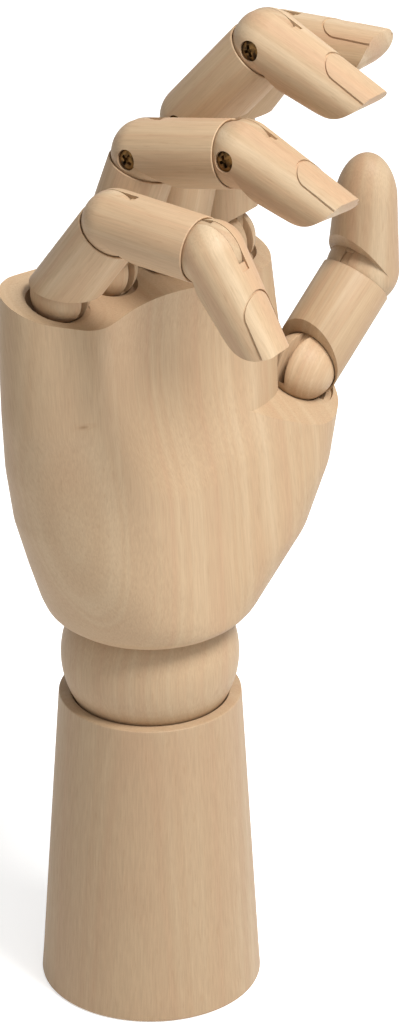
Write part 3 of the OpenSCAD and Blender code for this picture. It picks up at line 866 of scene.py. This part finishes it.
def palm_piece():
    """One sanded block: the two skins blended, hollowed below the knuckles, then bored."""
    block = wrapped("block", DISCS_BLOCK)
    root = wrapped("root", DISCS_ROOT)
    body = wrapped("palm_wood", DISCS_BLOCK)
    carve(body, [root], "UNION")
    step = body.modifiers.new("even", "REMESH")
    step.mode = "VOXEL"
    step.voxel_size = 1.0
    baked(body)
    relax(body.data, 14)
    hollow(body.data)
    relax(body.data, 10)
    across, back = THUMB["mouth"]
    tilt = Matrix.Translation(THUMB["at"]) @ spin("Y", back) @ spin("X", across)
    top = Matrix.Translation((0, 0, PALM_TOP_Z)) @ spin("Y", TOP_LEAN) @ spin("X", TOP_TILT)
    cutters = [carve(slab("above", (-60, -60, -3.1), (60, 60, 56.9), tilt), [block]),
               slab("top", (-80, -60, 0), (80, 60, 60), top),
               ball("cup", SEAT_R, (0, 0, WRIST_Z), 128),
               rod("bore", WRIST_Z + 18, WRIST_Z + 34, 2.6, None, 32)]
    for f in FINGERS.values():
        knuckle = finger_frames(f)[0]
        cutters += socket_cutters(knuckle, f["r"]) + [rod("mouth", 0, 20, MOUTH_R, knuckle, 96)]
    cutters += socket_cutters(thumb_frames(THUMB)[0], THUMB["r"])
    cutters.append(rod("mouth", -4.2, 15.8, MOUTH_R + 1.3, tilt, 96))
    return carve(body, cutters)


# Put everything together
def finish_wood(piece, place, body, node, slot, how, seed, wood, **more):
    """Finishes a piece in its own wood; wood is the pith, the growth bands' width and the tone."""
    finish(piece, place, body, node,
           hardwood("%s_hardwood_%s" % (how, node), place, seed, *wood, **more))


def dress_trunk():
    """Forearm, wrist and palm."""
    upright, at_wrist = Matrix.Identity(4), lift(WRIST_Z)
    finish_wood(forearm_piece(), upright, "stand", "forearm", "forearm_wood",
                "turned", 1, ((38, 22), 6.5, 0.84), lathe=0.5, figure=0.6)
    plug = turned("base_plug_wood", [(0, 0.15), (BORE_R - 0.4, 0.15), (BORE_R - 0.05, 0.5),
                                     (BORE_R - 0.02, 5.8), (BORE_R - 0.3, 6), (0, 6)], 64)
    finish(plug, upright, "stand", "base_plug",
           hardwood("turned_hardwood_plug", upright, 2, (9, 4), 2.5, 0.94))
    finish_wood(wrist_ball_piece(), at_wrist, "wrist", "wrist_ball", "ball_wood",
                "turned", 3, ((24, -18), 4.0, 0.9), lathe=0.5, figure=0.6)
    cable = grow("wrist_cable_strands", CABLE, {"Radius": 1.6, "Length": 42, "Lays": 2})
    finish(cable, lift(WRIST_Z - 21), "wrist", "wrist_cable", LAID_CABLE)
    spring = grow("wrist_spring_coil", WRIST_SPRING, {"Coil radius": 3.9, "Wire radius": 1.2,
                                                      "Length": 30.4, "Turns": 9})
    finish(spring, lift(13.3), "wrist_tie", "wrist_spring", SPRING_WIRE)
    grain = spin("X", -11) @ spin("Y", 7)
    finish(palm_piece(), upright, "palm", "palm",
           hardwood("sanded_hardwood_palm", grain, 4, (52, 34), 7.5, 0.9, 0.0,
                    knot=(-35.4, -10.5, 167.6), figure=0.8))


def dress_digit(n, name, f, places, woods):
    """A finger's pieces, or the thumb's, which has no middle piece. n gives each its own wood."""
    knuckle, first, last = places[0], places[1], places[-1]
    r, side, lengths = f["r"], f["side"], f["lengths"]
    low, middle, end = name + "_proximal", name + "_middle", name + "_distal"
    spring, nub, tongue = name + "_spring", name + "_ball", name + "_base_tongue"
    finish(knuckle_spring_piece(spring + "_coil", r), knuckle, spring, spring, SPRING_WIRE)
    finish_wood(knuckle_piece(nub + "_wood", r), knuckle, name + "_knuckle", nub, "ball_wood",
                "turned", 10 + n, woods["ball"])
    finish_wood(base_tongue_piece(tongue + "_wood"), first, low, tongue, "tongue_wood",
                "sawn", 20 + n, ((11, 6), 2.0, 0.93), lathe=0.0)
    finish_wood(first_piece(low + "_wood", lengths[0], r), first, low, low, "finger_wood",
                "turned", 30 + n, woods["proximal"])
    tongue = name + ("_mid_tongue" if "middle" in woods else "_tip_tongue")
    finish_wood(tongue_piece(tongue + "_wood", lengths[0], r), first, low, tongue, "tongue_wood",
                "sawn", 40 + n, ((10, 7), 2.0, 0.92), lathe=0.0)
    if "middle" in woods:
        second, screw, tongue = places[2], name + "_mid_screw", name + "_tip_tongue"
        finish_wood(middle_piece(middle + "_wood", lengths[1], r, side), second, middle, middle,
                    "finger_wood", "turned", 50 + n, woods["middle"])
        finish(screw_piece(screw + "_metal", r, side), second, middle, screw, AGED_SCREW, 25)
        finish_wood(tongue_piece(tongue + "_wood", lengths[1], r), second, middle, tongue,
                    "tongue_wood", "sawn", 60 + n, ((12, 5), 2.0, 0.92), lathe=0.0)
    screw = name + "_tip_screw"
    finish_wood(tip_piece(end + "_wood", lengths[-1], r, side, f["slim"], f["domed"]), last, end, end,
                "finger_wood", "turned", 70 + n, woods["distal"])
    finish(screw_piece(screw + "_metal", r, side), last, end, screw, AGED_SCREW, 25)


def dress():
    dress_trunk()
    for n, (name, f) in enumerate(FINGERS.items()):
        dress_digit(n, name, dict(f, slim=TIP_SLIM, domed=False), finger_frames(f),
                    {"ball": ((14, 9), 2.6, 1.0), "proximal": ((22 + 4 * n, 12), 3.4, 0.99),
                     "middle": ((19, 15 + 3 * n), 3.4, 0.98),
                     "distal": ((17, 13 + 2 * n), 3.2, 1.01)})
    dress_digit(len(FINGERS), "thumb", THUMB, thumb_frames(THUMB),
                {"ball": ((12, 10), 2.4, 1.0), "proximal": ((26, 13), 3.8, 0.88),
                 "distal": ((21, 13), 3.6, 0.86)})
    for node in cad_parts.values():
        if node.name in ("wrist_bolt", "anchor_pins") or node.name.endswith("ball_pin"):
            node.data.materials.clear()
            node.data.materials.append(DRAWN_PIN)


dress()


# Studio
FLOOR_GLOW = 0.6
ROOM_LIGHT = 0.27


def seen_directly(tree):
    """1 for rays from the camera, off a glossy face or through glass, else 0."""
    path = add(tree, "ShaderNodeLightPath").outputs
    seen = calc(tree, "MAXIMUM", path["Is Camera Ray"], path["Is Glossy Ray"])
    return calc(tree, "MAXIMUM", seen, path["Is Transmission Ray"])


def studio():
    """Matt paper floor, even white surroundings, a key lamp from the right and a weak front one."""
    floor_shape = bmesh.new()
    bmesh.ops.create_grid(floor_shape, x_segments=1, y_segments=1, size=6)
    floor = from_bmesh("floor", floor_shape)
    material, tree, surface = shader("matt_paper_floor")
    surface.inputs["Base Color"].default_value = linear("#f4f3f1")
    surface.inputs["Roughness"].default_value = 0.9
    glow = calc(tree, "MULTIPLY", seen_directly(tree), FLOOR_GLOW)
    surface.inputs["Emission Color"].default_value = (1, 1, 1, 1)
    tree.links.new(glow, surface.inputs["Emission Strength"])
    floor.data.materials.append(material)
    world = bpy.data.worlds.new("studio")
    bpy.context.scene.world = world
    world.use_nodes = True
    tree = world.node_tree
    tree.nodes.clear()
    level = spread(tree, seen_directly(tree), 0.0, 1.0, ROOM_LIGHT, 1.0)
    light = result(tree, "ShaderNodeBackground", {"Color": (1, 1, 1, 1), "Strength": level})
    add(tree, "ShaderNodeOutputWorld", {"Surface": light})
    middle, rise, lamp_away = Vector((0.005, 0, 0.15)), Vector((0, 0, 1)), 1.3
    for name, towards, size, watts in (("key", AWAY * 0.55 + RIGHT * 0.65 + rise, 0.5, 20.0),
                                       ("front", AWAY + rise * 0.3 + RIGHT * 0.1, 0.9, 2.2)):
        lamp = bpy.data.lights.new(name, "AREA")
        lamp.shape = "DISK"
        lamp.size = size
        lamp.energy = watts
        piece = show(name, lamp)
        away = towards.normalized()
        piece.location = middle + away * lamp_away
        piece.rotation_euler = away.to_track_quat("Z", "Y").to_euler()
    bpy.context.scene.view_settings.view_transform = "Standard"


studio()
